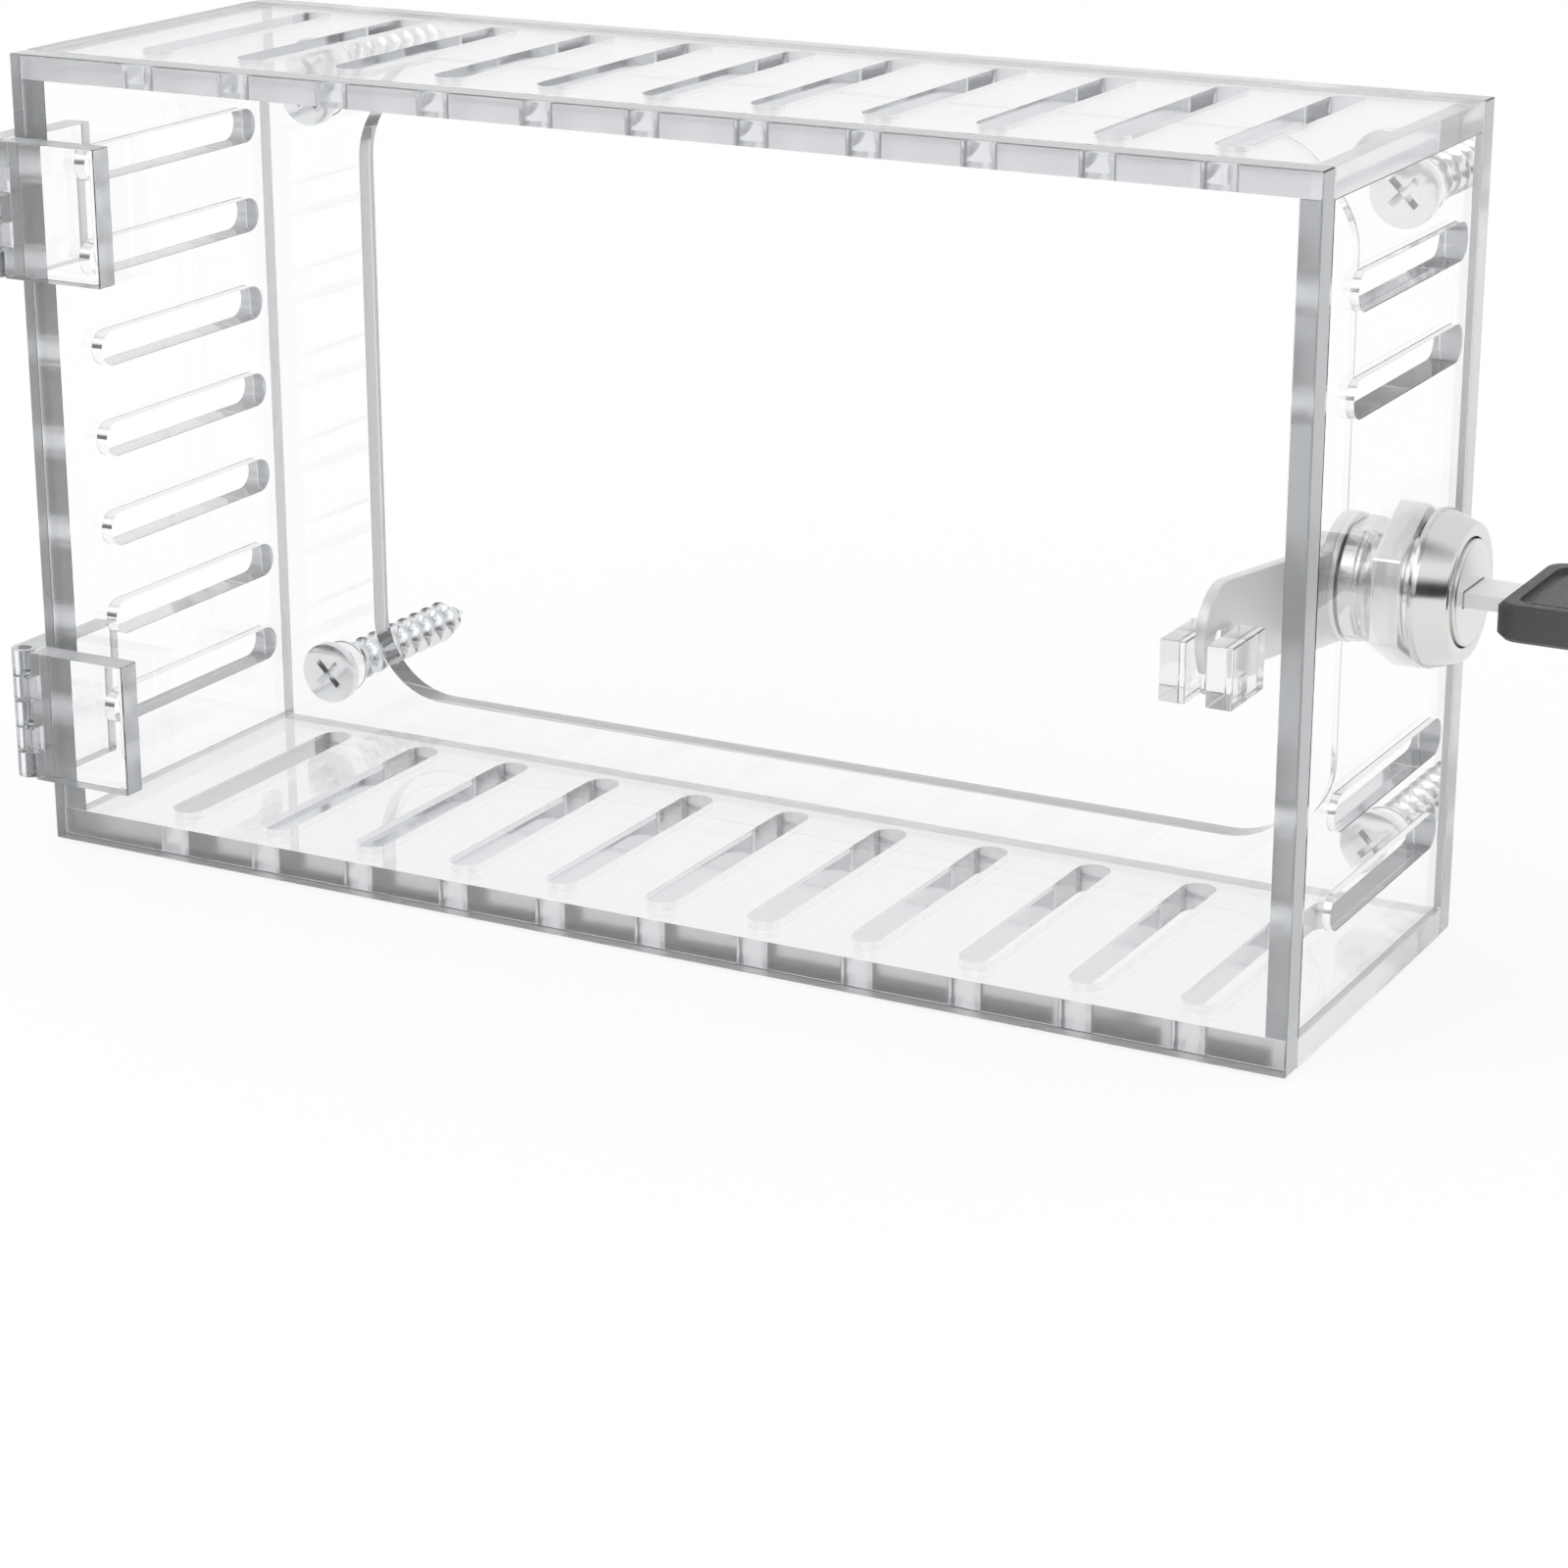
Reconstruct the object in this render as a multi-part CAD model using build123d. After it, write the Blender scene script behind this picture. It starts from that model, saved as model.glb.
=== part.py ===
"""Clear thermostat lock box with a hinged door and a key-operated hook lock.

Frame: origin on the wall, at the centre of the four mounting screws.
+X to the right, +Y into the wall, +Z up.  All lengths in millimetres, angles in degrees.
"""

from build123d import *
from math import atan2, cos, degrees, radians, sin
import os

# ---------------------------------------------------------------- box, sheet by sheet
WIDTH = 195.0
HEIGHT = 116.0
DEPTH = 62.0
SIDE_SHEET = 4.0
DOOR_SHEET = 4.0
BACK_SHEET = 4.0
DOOR_FRONT_GAP = 0.2       # door's inner face to the front edges of the panels
DOOR_HINGE_INSET = 0.2     # door's hinge-side edge, in from the side of the box

# window cut in the back frame, where the box goes over what it guards
WINDOW_SIDE_MARGIN = 20.0
WINDOW_TOP_MARGIN = 10.0
WINDOW_CORNER_RADIUS = 12.0

# ---------------------------------------------------------------- ventilation slots
SLOT_WIDTH = 5.0
TOP_SLOTS_EACH_SIDE = 5    # either side of the middle slot
TOP_SLOT_SIDE_MARGIN = 16.5   # last slot's middle to the side of the box
TOP_SLOT_FRONT_MARGIN = 6.3   # slot end to the panel's front edge
TOP_SLOT_BACK_MARGIN = 4.5    # slot end to the panel's back edge
SIDE_SLOTS_EACH_SIDE = 3
SIDE_SLOT_TOP_MARGIN = 17.35
SIDE_SLOT_FRONT_MARGIN = 9.8
SIDE_SLOT_BACK_MARGIN = 4.0
LOCK_SIDE_SLOTS_LEFT_OUT = 3  # in the middle, round the lock

# ---------------------------------------------------------------- mounting screws
SCREW_FROM_SIDE = 12.5
SCREW_FROM_TOP = 12.5
SCREW_HOLE_DIAMETER = 8.0
SCREW_HEAD_DIAMETER = 9.6
SCREW_HEAD_RIM = 1.4
SCREW_HEAD_CONE = 3.5
SCREW_NECK_DIAMETER = 4.1
SCREW_THREAD_DIAMETER = 6.4
SCREW_LENGTH = 39.7
SCREW_POINT_LENGTH = 6.5
CROSS_RECESS_SPAN = 5.0
CROSS_RECESS_WIDTH = 1.0
CROSS_RECESS_DEPTH = 1.9

# ---------------------------------------------------------------- hinges
HINGE_HEIGHT = 19.5
UPPER_HINGE_FROM_TOP = 21.4      # hinge's middle to the top of the box
LOWER_HINGE_FROM_BOTTOM = 20.0
HINGE_LEAF_THICKNESS = 4.0
HINGE_LEAF_REACH = 18.8    # pin axis to the leaf's far edge
KNUCKLES = 5
KNUCKLE_GAP = 0.16
BARREL_CLEARANCE = 0.3     # leaf edge to the other leaf's barrel
HINGE_PIN_DIAMETER = 2.0
PIN_RUNNING_CLEARANCE = 0.05
LEAF_EDGE_RADIUS = 0.6

# ---------------------------------------------------------------- catch on the door
CATCH_HEIGHT = 8.25
CATCH_DEPTH = 10.8
CATCH_BELOW_LOCK = 2.1     # catch's middle, below the lock axis
CHEEK_THICKNESS = 3.6
CAM_SIDE_CLEARANCE = 0.65  # cam to each cheek
BAR_SIZE = 3.0
BAR_FROM_DOOR = 5.1
BAR_EDGE_RADIUS = 0.3

# ---------------------------------------------------------------- lock body
LOCK_BELOW_MIDDLE = 5.0    # lock axis, below the middle of the box
NUT_TO_BACK_FRAME = 0.5
BARREL_DIAMETER = 18.0
BARREL_ACROSS_FLATS = 15.5
PANEL_HOLE_CLEARANCE = 0.15
BEZEL_DIAMETER = 21.6
BEZEL_FRONT_DIAMETER = 18.9
BEZEL_RIM = 1.3
BEZEL_HEIGHT = 5.2
NUT_ACROSS_FLATS = 20.0
NUT_CORNER_DIAMETER = 22.7
NUT_THICKNESS = 4.0
BARREL_LENGTH = 13.4       # outer face of the side panel to the barrel's inner end

# ---------------------------------------------------------------- plug, wafers and springs
PLUG_DIAMETER = 12.6
PLUG_HEAD_DIAMETER = 14.4
PLUG_HEAD_THICKNESS = 2.3
PLUG_HEAD_PROUD = 0.4
PLUG_HEAD_CLEARANCE = 0.2
PLUG_HEAD_CHAMFER = 0.3
TAIL_SQUARE = 7.0
TAIL_BELOW_CAM = 0.2       # tail's end, inside the cam's face, so the screw clamps the cam
WAFERS = 5
WAFER_THICKNESS = 1.0
WAFER_PITCH = 2.4
FIRST_WAFER_OUTSIDE = 1.4  # first wafer's middle, outwards from the side panel's face
WAFER_CLEARANCE = 0.1
WAFER_BELOW_AXIS = 3.5
WAFER_ABOVE_AXIS = 1.7
WAFER_LUG_LENGTH = 1.2
WAFER_LUG_TOP = 3.4
SPRING_POCKET_LENGTH = 4.4
SPRING_DIAMETER = 1.0
WAFER_GROOVE_DEPTH = 1.25  # groove each side of the barrel's bore
WAFER_GROOVE_CLEARANCE = 0.3

# ---------------------------------------------------------------- stop washer, cam and its screw
STOP_GAP = 0.2             # barrel's end to the stop washer
STOP_THICKNESS = 0.8
STOP_TOOTH_WIDTH = 3.0
STOP_TOOTH_DEPTH = 1.5
STOP_TOOTH_INNER_RADIUS = 7.2
STOP_TOOTH_OUTER_RADIUS = 8.8
STOP_TOOTH_ANGLE = 142.0   # from the level arm's direction, with the arm as stored
STOP_ANGLE_SPARE = 1.5
STOP_NOTCH_CLEARANCE = 0.3
CAM_THICKNESS = 1.5
CAM_HUB_RADIUS = 8.8
CAM_TURN = 90.0            # whole turn of the key
CAM_REST_LIFT = 7.0        # arm's lift above fully locked, as stored
ARM_TOP = 4.0              # above the lock axis, arm level
ARM_BOTTOM = 8.6           # below the lock axis
HOOK_TO_DOOR = 1.2
HOOK_NOSE_RADIUS = 6.7
HOOK_BELOW_BAR = 1.375     # hook's point below the bar, fully locked
NOTCH_ABOVE_BAR = 0.925    # notch's end above the bar, fully locked
NOTCH_FRONT_CLEARANCE = 0.5
NOTCH_BACK_CLEARANCE = 1.7
NOTCH_CORNER_RADIUS = 0.8
WASHER_DIAMETER = 12.0
WASHER_THICKNESS = 1.0
CAM_SCREW_DIAMETER = 4.0
CAM_SCREW_HEAD_DIAMETER = 7.6
CAM_SCREW_HEAD_HEIGHT = 2.6
CAM_SCREW_HEAD_CHAMFER = 1.0
CAM_SCREW_LENGTH = 6.4
CAM_SCREW_RECESS_SPAN = 4.0
CAM_SCREW_RECESS_WIDTH = 0.9
CAM_SCREW_RECESS_DEPTH = 1.4

# ---------------------------------------------------------------- key
BLADE_WIDTH = 8.0
BLADE_THICKNESS = 2.0
BLADE_IN_LOCK = 15.4       # plug's face to the blade's tip
BLADE_SHOWING = 6.4
BLADE_IN_BOW = 9.0
KEYWAY_CLEARANCE = 0.2
UPPER_CUT_DEPTHS = (1.1, 0.6, 1.4, 0.8, 1.2)
LOWER_CUT_DEPTHS = (0.9, 1.4, 0.6, 1.2, 0.8)
BLADE_CUT_WIDTH = 1.5
BLADE_TIP_CHAMFER = 2.2
BOW_WIDTH = 24.0
BOW_LENGTH = 27.0
BOW_THICKNESS = 5.0
BOW_SHOULDER_RADIUS = 3.5
BOW_END_RADIUS = 9.0
BOW_EDGE_CHAMFER = 0.8
BOW_RIM = 2.4
BOW_PANEL_RECESS = 0.8
BOW_PAD_INSET = 1.6        # raised pad, in from the edge of the sunk panel
BOW_PAD_HEIGHT = 0.4
RING_HOLE_LENGTH = 9.0
RING_HOLE_WIDTH = 4.5
RING_HOLE_FROM_END = 3.6

# ---------------------------------------------------------------- levels that pieces share
BOX_FRONT = -DEPTH
DOOR_INNER = BOX_FRONT + DOOR_SHEET
PANEL_FRONT = DOOR_INNER + DOOR_FRONT_GAP
PANEL_BACK = -BACK_SHEET
SIDE_INNER = WIDTH / 2 - SIDE_SHEET
SCREW_SPACING_X = WIDTH - 2 * SCREW_FROM_SIDE
SCREW_SPACING_Z = HEIGHT - 2 * SCREW_FROM_TOP
PIN_X = -WIDTH / 2 - HINGE_LEAF_THICKNESS / 2
PIN_Y = BOX_FRONT - HINGE_LEAF_THICKNESS / 2
UPPER_HINGE_Z = HEIGHT / 2 - UPPER_HINGE_FROM_TOP
LOWER_HINGE_Z = -HEIGHT / 2 + LOWER_HINGE_FROM_BOTTOM
LOCK_Y = PANEL_BACK - NUT_TO_BACK_FRAME - NUT_ACROSS_FLATS / 2
LOCK_Z = -LOCK_BELOW_MIDDLE
LOCK_FACE_X = WIDTH / 2                      # outer face of the panel that carries the lock
BARREL_END_X = LOCK_FACE_X - BARREL_LENGTH
STOP_X = BARREL_END_X - STOP_GAP
CAM_OUTER_X = STOP_X - STOP_THICKNESS
CAM_INNER_X = CAM_OUTER_X - CAM_THICKNESS
CAM_MIDDLE_X = (CAM_OUTER_X + CAM_INNER_X) / 2
PLUG_FACE_X = LOCK_FACE_X + BEZEL_HEIGHT + PLUG_HEAD_PROUD
BLADE_TIP_X = PLUG_FACE_X - BLADE_IN_LOCK
BOW_X = PLUG_FACE_X + BLADE_SHOWING
CATCH_BOTTOM_Z = LOCK_Z - CATCH_BELOW_LOCK - CATCH_HEIGHT / 2
BAR_TOP_Z = CATCH_BOTTOM_Z + BAR_SIZE
BAR_FRONT_Y = DOOR_INNER + BAR_FROM_DOOR
BAR_BACK_Y = BAR_FRONT_Y + BAR_SIZE


# ---------------------------------------------------------------- shared shapes
def block(x0, x1, y0, y1, z0, z1):
    """Box between two corners."""
    centre = Pos((x0 + x1) / 2, (y0 + y1) / 2, (z0 + z1) / 2)
    return centre * Box(x1 - x0, y1 - y0, z1 - z0)


def along_x(sketch, x0, x1):
    """Extrude a sketch drawn as (Y, Z) about the lock axis, from x0 to x1."""
    plane = Plane(origin=(x0, LOCK_Y, LOCK_Z), x_dir=(0, 1, 0), z_dir=(1, 0, 0))
    return extrude(plane * sketch, amount=x1 - x0)


def disc_x(diameter, x0, x1):
    """Round bar on the lock axis, from x0 to x1."""
    return along_x(Circle(diameter / 2), x0, x1)


def on_arm(sketch, x0, x1):
    """Extrude a sketch drawn as (towards the door, up) from the lock axis, in the stored pose."""
    plane = Plane(origin=(x1, LOCK_Y, LOCK_Z), x_dir=(0, -1, 0), z_dir=(-1, 0, 0))
    return extrude(plane * Rot(0, 0, CAM_REST_LIFT) * sketch, amount=x1 - x0)


def ring_sector(inner, outer, start, end):
    """Part of a flat ring between two angles of under half a circle."""
    def at(radius, angle):
        return (radius * cos(radians(angle)), radius * sin(radians(angle)))

    middle = (start + end) / 2
    edges = [
        ThreePointArc(at(outer, start), at(outer, middle), at(outer, end)),
        Line(at(outer, end), at(inner, end)),
        ThreePointArc(at(inner, end), at(inner, middle), at(inner, start)),
        Line(at(inner, start), at(outer, start)),
    ]
    return make_face(edges)


# ---------------------------------------------------------------- fixed sheets
def back_frame():
    sheet = Box(WIDTH, BACK_SHEET, HEIGHT)
    opening = RectangleRounded(
        WIDTH - 2 * WINDOW_SIDE_MARGIN, HEIGHT - 2 * WINDOW_TOP_MARGIN, WINDOW_CORNER_RADIUS)
    window = Rot(90, 0, 0) * extrude(opening, BACK_SHEET, both=True)
    places = GridLocations(SCREW_SPACING_X, SCREW_SPACING_Z, 2, 2)
    circles = Sketch() + [place * Circle(SCREW_HOLE_DIAMETER / 2) for place in places]
    holes = Rot(90, 0, 0) * extrude(circles, BACK_SHEET, both=True)
    return Pos(0, -BACK_SHEET / 2, 0) * (sheet - window - holes)


def slotted_cover(z_outer, inwards):
    """Top or bottom panel: full width, with a row of slots running front to back."""
    z0, z1 = sorted((z_outer, z_outer + inwards * SIDE_SHEET))
    sheet = block(-WIDTH / 2, WIDTH / 2, PANEL_FRONT, PANEL_BACK, z0, z1)
    slot_front = PANEL_FRONT + TOP_SLOT_FRONT_MARGIN
    slot_back = PANEL_BACK - TOP_SLOT_BACK_MARGIN
    slot = Rot(0, 0, 90) * SlotOverall(slot_back - slot_front, SLOT_WIDTH)
    cutter = extrude(slot, SIDE_SHEET, both=True)
    pitch = (WIDTH / 2 - TOP_SLOT_SIDE_MARGIN) / TOP_SLOTS_EACH_SIDE
    for step in range(-TOP_SLOTS_EACH_SIDE, TOP_SLOTS_EACH_SIDE + 1):
        sheet -= Pos(step * pitch, (slot_front + slot_back) / 2, (z0 + z1) / 2) * cutter
    return sheet


def slotted_side(x_outer, inwards, left_out):
    """Side panel between the covers, with slots but for those left out in the middle."""
    x0, x1 = sorted((x_outer, x_outer + inwards * SIDE_SHEET))
    half = HEIGHT / 2 - SIDE_SHEET
    sheet = block(x0, x1, PANEL_FRONT, PANEL_BACK, -half, half)
    slot_front = PANEL_FRONT + SIDE_SLOT_FRONT_MARGIN
    slot_back = PANEL_BACK - SIDE_SLOT_BACK_MARGIN
    slot = Rot(0, 0, 90) * SlotOverall(slot_back - slot_front, SLOT_WIDTH)
    cutter = Rot(0, 90, 0) * extrude(slot, SIDE_SHEET, both=True)
    pitch = (HEIGHT / 2 - SIDE_SLOT_TOP_MARGIN) / SIDE_SLOTS_EACH_SIDE
    for step in range(-SIDE_SLOTS_EACH_SIDE, SIDE_SLOTS_EACH_SIDE + 1):
        if 2 * abs(step) >= left_out:
            sheet -= Pos((x0 + x1) / 2, (slot_front + slot_back) / 2, step * pitch) * cutter
    return sheet


def barrel_section(clearance):
    """Round with two flats, above and below, that stop the barrel turning in its hole."""
    circle = Circle(BARREL_DIAMETER / 2 + clearance)
    flats = Rectangle(BARREL_DIAMETER + 2, BARREL_ACROSS_FLATS + 2 * clearance)
    return circle & flats


def lock_side_panel():
    panel = slotted_side(WIDTH / 2, -1, LOCK_SIDE_SLOTS_LEFT_OUT)
    hole = along_x(barrel_section(PANEL_HOLE_CLEARANCE), SIDE_INNER - 1, LOCK_FACE_X + 1)
    return panel - hole


# ---------------------------------------------------------------- mounting screws
def mounting_screw():
    """Countersunk screw along +Y whose head seats on the rim of its hole."""
    head = SCREW_HEAD_DIAMETER / 2
    hole = SCREW_HOLE_DIAMETER / 2
    neck = SCREW_NECK_DIAMETER / 2
    thread = SCREW_THREAD_DIAMETER / 2
    seat_down_cone = SCREW_HEAD_CONE * (head - hole) / (head - neck)
    cone_y = -BACK_SHEET - seat_down_cone
    top_y = cone_y - SCREW_HEAD_RIM
    tip_y = top_y + SCREW_LENGTH
    outline = Polyline(
        (0, top_y), (head, top_y), (head, cone_y), (neck, cone_y + SCREW_HEAD_CONE), (neck, 0),
        (thread, 0), (thread, tip_y - SCREW_POINT_LENGTH), (0, tip_y), close=True)
    screw = revolve(make_face(outline), Axis.Y)
    recess_y = top_y + CROSS_RECESS_DEPTH / 2
    for turn in (45, 135):
        arm = Rot(0, turn, 0) * Box(CROSS_RECESS_SPAN, CROSS_RECESS_DEPTH, CROSS_RECESS_WIDTH)
        screw -= Pos(0, recess_y, 0) * arm
    return screw


def mounting_screws():
    places = [
        Pos(sx * SCREW_SPACING_X / 2, 0, sz * SCREW_SPACING_Z / 2)
        for sx in (-1, 1)
        for sz in (-1, 1)
    ]
    return Compound([place * mounting_screw() for place in places])


# ---------------------------------------------------------------- hinges
def hinge_leaf(owns_knuckle, bore_diameter):
    """Leaf along +X from a pin on Z, flat on +Y, knuckles where owns_knuckle(index) is true."""
    barrel = HINGE_LEAF_THICKNESS / 2
    pitch = HINGE_HEIGHT / KNUCKLES
    plate_start = barrel + BARREL_CLEARANCE
    plate = block(plate_start, HINGE_LEAF_REACH, -barrel, barrel, -HINGE_HEIGHT / 2, HINGE_HEIGHT / 2)
    far_edges = plate.edges().filter_by(Axis.Z).group_by(Axis.X)[-1]
    leaf = fillet(far_edges, LEAF_EDGE_RADIUS)
    for index in range(KNUCKLES):
        if owns_knuckle(index):
            low = -HINGE_HEIGHT / 2 + index * pitch
            z0 = low + (KNUCKLE_GAP / 2 if index else 0)
            z1 = low + pitch - (KNUCKLE_GAP / 2 if index < KNUCKLES - 1 else 0)
            leaf += Pos(0, 0, (z0 + z1) / 2) * Cylinder(barrel, z1 - z0)
            leaf += block(0, plate_start + barrel, -barrel, barrel, z0, z1)
    return leaf - Cylinder(bore_diameter / 2, HINGE_HEIGHT + 2)


def door_leaf(z):
    leaf = hinge_leaf(lambda index: index % 2 == 1, HINGE_PIN_DIAMETER + 2 * PIN_RUNNING_CLEARANCE)
    return Pos(PIN_X, PIN_Y, z) * leaf


def wall_leaf(z):
    leaf = hinge_leaf(lambda index: index % 2 == 0, HINGE_PIN_DIAMETER)
    return Pos(PIN_X, PIN_Y, z) * Rot(0, 0, 90) * leaf


def hinge_pin(z):
    return Pos(PIN_X, PIN_Y, z) * Cylinder(HINGE_PIN_DIAMETER / 2, HINGE_HEIGHT)


# ---------------------------------------------------------------- door and catch
def door_panel():
    left = -WIDTH / 2 + DOOR_HINGE_INSET
    return block(left, WIDTH / 2, BOX_FRONT, DOOR_INNER, -HEIGHT / 2, HEIGHT / 2)


def catch_cheek(side):
    """Block glued to the door on one side of the hook."""
    near = CAM_MIDDLE_X + side * (CAM_THICKNESS / 2 + CAM_SIDE_CLEARANCE)
    x0, x1 = sorted((near, near + side * CHEEK_THICKNESS))
    top_z = CATCH_BOTTOM_Z + CATCH_HEIGHT
    return block(x0, x1, DOOR_INNER, DOOR_INNER + CATCH_DEPTH, CATCH_BOTTOM_Z, top_z)


def catch_bar():
    """Bar between the cheeks that the hook drops behind."""
    half = CAM_THICKNESS / 2 + CAM_SIDE_CLEARANCE
    bar = block(CAM_MIDDLE_X - half, CAM_MIDDLE_X + half, BAR_FRONT_Y, BAR_BACK_Y, CATCH_BOTTOM_Z, BAR_TOP_Z)
    return fillet(bar.edges().filter_by(Axis.X), BAR_EDGE_RADIUS)


# ---------------------------------------------------------------- lock
def wafer_places():
    """X of each wafer's middle, from the face inwards."""
    return [LOCK_FACE_X + FIRST_WAFER_OUTSIDE - index * WAFER_PITCH for index in range(WAFERS)]


def lock_body():
    """Threaded barrel with its bezel, bored for the plug."""
    base = disc_x(BEZEL_DIAMETER, LOCK_FACE_X, LOCK_FACE_X + BEZEL_RIM)
    front_x = LOCK_FACE_X + BEZEL_HEIGHT
    slope = loft([
        Plane(origin=(LOCK_FACE_X + BEZEL_RIM, LOCK_Y, LOCK_Z), z_dir=(1, 0, 0)) * Circle(BEZEL_DIAMETER / 2),
        Plane(origin=(front_x, LOCK_Y, LOCK_Z), z_dir=(1, 0, 0)) * Circle(BEZEL_FRONT_DIAMETER / 2),
    ])
    body = base + slope + along_x(barrel_section(0), BARREL_END_X, LOCK_FACE_X)
    recess = PLUG_HEAD_DIAMETER + 2 * PLUG_HEAD_CLEARANCE
    recess_x = PLUG_FACE_X - PLUG_HEAD_THICKNESS - PLUG_HEAD_CLEARANCE
    body -= disc_x(recess, recess_x, front_x + 1)
    body -= disc_x(PLUG_DIAMETER + 2 * PIN_RUNNING_CLEARANCE, BARREL_END_X - 1, front_x + 1)
    wafers = wafer_places()
    groove_height = WAFER_BELOW_AXIS + WAFER_ABOVE_AXIS + 2 * WAFER_GROOVE_CLEARANCE
    groove = Rectangle(PLUG_DIAMETER + 2 * WAFER_GROOVE_DEPTH, groove_height)
    groove = Pos(0, (WAFER_ABOVE_AXIS - WAFER_BELOW_AXIS) / 2) * groove
    body -= along_x(groove, wafers[-1] - WAFER_PITCH / 2, wafers[0] + WAFER_PITCH / 2)
    half_tooth = degrees(atan2(STOP_TOOTH_WIDTH / 2, STOP_TOOTH_INNER_RADIUS)) + STOP_ANGLE_SPARE
    locked = STOP_TOOTH_ANGLE - 2 * CAM_REST_LIFT
    notch = ring_sector(
        STOP_TOOTH_INNER_RADIUS - STOP_NOTCH_CLEARANCE, BARREL_DIAMETER / 2 + 1,
        locked - half_tooth, locked + CAM_TURN + half_tooth)
    return body - on_arm(notch, BARREL_END_X - 1, BARREL_END_X + STOP_TOOTH_DEPTH)


def lock_nut():
    nut = RegularPolygon(NUT_ACROSS_FLATS / 2, 6, major_radius=False, rotation=30)
    solid = along_x(nut - Circle(BARREL_DIAMETER / 2), SIDE_INNER - NUT_THICKNESS, SIDE_INNER)
    corners = disc_x(NUT_CORNER_DIAMETER, SIDE_INNER - NUT_THICKNESS, SIDE_INNER)
    return solid & corners


def wafer_sketch(clearance):
    """Plate outline: full chord of the plug below, with a lug above that meets the spring."""
    below = WAFER_BELOW_AXIS + clearance
    above = WAFER_ABOVE_AXIS + clearance
    return Pos(0, (above - below) / 2) * Rectangle(1.2 * PLUG_DIAMETER, above + below)


def lock_plug():
    """Turning core: head, slotted core and the square tail that carries the cam."""
    core_end = CAM_OUTER_X + STOP_THICKNESS
    head = disc_x(PLUG_HEAD_DIAMETER, PLUG_FACE_X - PLUG_HEAD_THICKNESS, PLUG_FACE_X)
    head = chamfer(head.edges().group_by(Axis.X)[-1], PLUG_HEAD_CHAMFER)
    plug = head + disc_x(PLUG_DIAMETER, core_end, PLUG_FACE_X - PLUG_HEAD_THICKNESS)
    tail_end = CAM_INNER_X + TAIL_BELOW_CAM
    plug += on_arm(Rectangle(TAIL_SQUARE, TAIL_SQUARE), tail_end, core_end)
    keyway = Rectangle(BLADE_WIDTH + 2 * KEYWAY_CLEARANCE, BLADE_THICKNESS + 2 * KEYWAY_CLEARANCE)
    plug -= along_x(keyway, BLADE_TIP_X - KEYWAY_CLEARANCE, PLUG_FACE_X + 1)
    half = WAFER_THICKNESS / 2 + WAFER_CLEARANCE
    pocket_z = (WAFER_ABOVE_AXIS + WAFER_LUG_TOP) / 2 + WAFER_CLEARANCE
    pocket_height = WAFER_LUG_TOP - WAFER_ABOVE_AXIS + WAFER_CLEARANCE
    pocket = Pos(0, pocket_z) * Rectangle(SPRING_POCKET_LENGTH, pocket_height)
    for x in wafer_places():
        plug -= along_x(wafer_sketch(WAFER_CLEARANCE), x - half, x + half)
        plug -= along_x(pocket, x - half, x + half)
    plug -= disc_x(CAM_SCREW_DIAMETER, tail_end - 1, CAM_INNER_X - WASHER_THICKNESS + CAM_SCREW_LENGTH)
    return plug


def lock_wafers():
    """Flat wafers that the key lines up with the plug's surface."""
    window = Rectangle(BLADE_WIDTH + 2 * KEYWAY_CLEARANCE, BLADE_THICKNESS + 2 * KEYWAY_CLEARANCE)
    lug_y = -SPRING_POCKET_LENGTH / 2 + WAFER_CLEARANCE + WAFER_LUG_LENGTH / 2
    lug_height = WAFER_LUG_TOP - WAFER_ABOVE_AXIS
    lug = Pos(lug_y, WAFER_ABOVE_AXIS + lug_height / 2) * Rectangle(WAFER_LUG_LENGTH, lug_height)
    plate = wafer_sketch(0) & Circle(PLUG_DIAMETER / 2 - 0.05)
    outline = plate - window + lug
    half = WAFER_THICKNESS / 2
    return Compound([along_x(outline, x - half, x + half) for x in wafer_places()])


def wafer_springs():
    """Short springs beside the wafers, between each lug and the end of its pocket."""
    start_y = -SPRING_POCKET_LENGTH / 2 + WAFER_CLEARANCE + WAFER_LUG_LENGTH
    length = SPRING_POCKET_LENGTH / 2 - start_y
    z = (WAFER_ABOVE_AXIS + WAFER_LUG_TOP) / 2
    coil = Rot(90, 0, 0) * Cylinder(SPRING_DIAMETER / 2, length)
    middle = start_y + length / 2
    return Compound([Pos(x, LOCK_Y + middle, LOCK_Z + z) * coil for x in wafer_places()])


def stop_washer():
    """Washer that turns with the plug, its tooth limited by the notch in the barrel."""
    ring = Circle(STOP_TOOTH_OUTER_RADIUS) - Rectangle(TAIL_SQUARE, TAIL_SQUARE)
    washer = on_arm(ring, CAM_OUTER_X, STOP_X)
    reach = STOP_TOOTH_OUTER_RADIUS - STOP_TOOTH_INNER_RADIUS
    middle = STOP_TOOTH_INNER_RADIUS + reach / 2
    tooth = Rot(0, 0, STOP_TOOTH_ANGLE - CAM_REST_LIFT) * Pos(middle, 0) * Rectangle(reach, STOP_TOOTH_WIDTH)
    tooth = tooth & Circle(STOP_TOOTH_OUTER_RADIUS)
    return washer + on_arm(tooth, CAM_OUTER_X, BARREL_END_X + STOP_TOOTH_DEPTH - STOP_GAP)


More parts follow.
